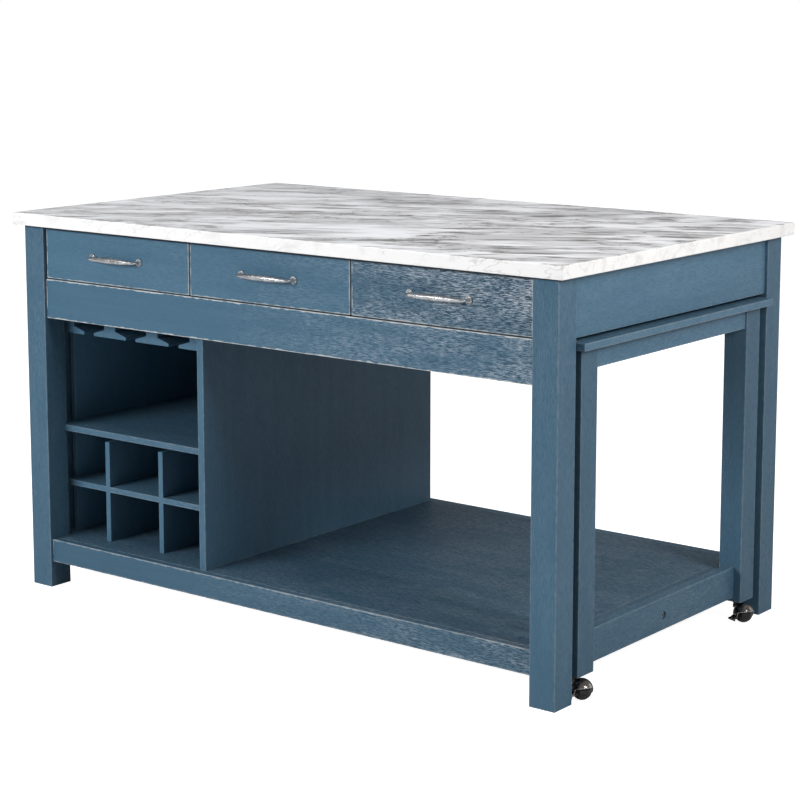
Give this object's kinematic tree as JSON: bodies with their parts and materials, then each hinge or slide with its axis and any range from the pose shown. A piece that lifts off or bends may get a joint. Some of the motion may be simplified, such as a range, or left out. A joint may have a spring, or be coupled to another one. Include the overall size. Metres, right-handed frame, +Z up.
{
  "type": "kitchen island",
  "caption": "Blue painted kitchen island with a marble-look top, front drawers, stemware rack, bottle grid, open shelf and a pull-out table leaf on casters.",
  "frame": {"origin": "on the floor under the centre of the worktop", "axes": "+X along the long side towards the pull-out leaf, +Y from the drawer side to the back, +Z up"},
  "size_m": [1.578, 0.958, 0.914],
  "materials": {
    "painted_wood": "blue paint over open-grained wood, satin",
    "marble_top": "white marble look with grey streaks, polished",
    "frame_wood": "thin blue paint on hidden frame boards",
    "drawer_wood": "clear lacquered light wood",
    "satin_nickel": "satin nickel",
    "slide_steel": "zinc plated",
    "dark_steel": "gunmetal plated, glossy",
    "caster_tread": "black tread"
  },
  "bodies": {
    "island": {"worktop": "marble_top", "leg_front_left": "painted_wood", "leg_front_right": "painted_wood", "leg_back_left": "painted_wood", "leg_back_right": "painted_wood", "front_rail": "painted_wood", "back_apron": "painted_wood", "bottom_rail_front": "painted_wood", "bottom_rail_back": "painted_wood", "bottom_rail_left": "painted_wood", "bottom_rail_right": "painted_wood", "side_apron_left": "painted_wood", "side_apron_right": "painted_wood", "bottom_shelf": "painted_wood", "end_panel": "painted_wood", "end_lining": "painted_wood", "divider_panel": "painted_wood", "bay_back_panel": "painted_wood", "storage_shelf": "painted_wood", "rack_board": "painted_wood", "grid_deck": "painted_wood", "grid_uprights": "painted_wood", "stemware_rails": "painted_wood", "drawer_partitions": "frame_wood", "drawer_cheeks": "frame_wood", "leaf_runners": "frame_wood", "drawer_slides_fixed": "slide_steel", "leaf_slides_fixed": "slide_steel"},
    "drawer_1": {"drawer_front_1": "painted_wood", "drawer_pull_1": "satin_nickel", "drawer_box_1": "drawer_wood", "slide_moving_1": "slide_steel"},
    "drawer_slide_1": {"slide_middle_1": "slide_steel"},
    "drawer_2": {"drawer_front_2": "painted_wood", "drawer_pull_2": "satin_nickel", "drawer_box_2": "drawer_wood", "slide_moving_2": "slide_steel"},
    "drawer_slide_2": {"slide_middle_2": "slide_steel"},
    "drawer_3": {"drawer_front_3": "painted_wood", "drawer_pull_3": "satin_nickel", "drawer_box_3": "drawer_wood", "slide_moving_3": "slide_steel"},
    "drawer_slide_3": {"slide_middle_3": "slide_steel"},
    "leaf": {"leaf_board": "painted_wood", "leaf_apron": "painted_wood", "leaf_rails": "painted_wood", "leaf_leg_front": "painted_wood", "leaf_leg_back": "painted_wood", "leaf_stretcher": "painted_wood", "stretcher_bolt": "dark_steel", "leaf_slides_moving": "slide_steel", "caster_sockets": "slide_steel"},
    "leaf_slide": {"leaf_slides_middle": "slide_steel"},
    "caster_front": {"caster_hood_front": "dark_steel"},
    "wheel_front": {"caster_wheel_front": "caster_tread"},
    "pedal_front": {"caster_pedal_front": "dark_steel"},
    "caster_back": {"caster_hood_back": "dark_steel"},
    "wheel_back": {"caster_wheel_back": "caster_tread"},
    "pedal_back": {"caster_pedal_back": "dark_steel"}
  },
  "joints": [
    {"name": "drawer_1_pull", "type": "slide", "parent": "island", "child": "drawer_1", "axis": [0, -1, 0], "range_m": [0, 0.38]},
    {"name": "drawer_1_telescope", "type": "slide", "parent": "island", "child": "drawer_slide_1", "axis": [0, -1, 0], "range_m": [0, 0.19]},
    {"name": "drawer_2_pull", "type": "slide", "parent": "island", "child": "drawer_2", "axis": [0, -1, 0], "range_m": [0, 0.38]},
    {"name": "drawer_2_telescope", "type": "slide", "parent": "island", "child": "drawer_slide_2", "axis": [0, -1, 0], "range_m": [0, 0.19]},
    {"name": "drawer_3_pull", "type": "slide", "parent": "island", "child": "drawer_3", "axis": [0, -1, 0], "range_m": [0, 0.38]},
    {"name": "drawer_3_telescope", "type": "slide", "parent": "island", "child": "drawer_slide_3", "axis": [0, -1, 0], "range_m": [0, 0.19]},
    {"name": "leaf_pull", "type": "slide", "parent": "island", "child": "leaf", "axis": [1, 0, 0], "range_m": [0, 0.6]},
    {"name": "leaf_telescope", "type": "slide", "parent": "island", "child": "leaf_slide", "axis": [1, 0, 0], "range_m": [0, 0.3]},
    {"name": "swivel_front", "type": "hinge", "parent": "leaf", "child": "caster_front", "pos_m": [0.738, -0.339, 0.06], "axis": [0, 0, 1], "continuous": true},
    {"name": "roll_front", "type": "hinge", "parent": "caster_front", "child": "wheel_front", "pos_m": [0.76454, -0.35299, 0.0215], "axis": [-0.4664, -0.8846, 0], "continuous": true},
    {"name": "brake_front", "type": "hinge", "parent": "caster_front", "child": "pedal_front", "pos_m": [0.75194, -0.37688, 0.014], "axis": [0.8846, -0.4664, 0], "range_deg": [0, 25]},
    {"name": "swivel_back", "type": "hinge", "parent": "leaf", "child": "caster_back", "pos_m": [0.738, 0.339, 0.06], "axis": [0, 0, 1], "continuous": true},
    {"name": "roll_back", "type": "hinge", "parent": "caster_back", "child": "wheel_back", "pos_m": [0.76454, 0.32501, 0.0215], "axis": [-0.4664, -0.8846, 0], "continuous": true},
    {"name": "brake_back", "type": "hinge", "parent": "caster_back", "child": "pedal_back", "pos_m": [0.75194, 0.30112, 0.014], "axis": [0.8846, -0.4664, 0], "range_deg": [0, 25]}
  ],
  "couplings": [
    {"joint": "drawer_1_telescope", "follows": "drawer_1_pull", "ratio": 0.5},
    {"joint": "drawer_2_telescope", "follows": "drawer_2_pull", "ratio": 0.5},
    {"joint": "drawer_3_telescope", "follows": "drawer_3_pull", "ratio": 0.5},
    {"joint": "leaf_telescope", "follows": "leaf_pull", "ratio": 0.5}
  ]
}
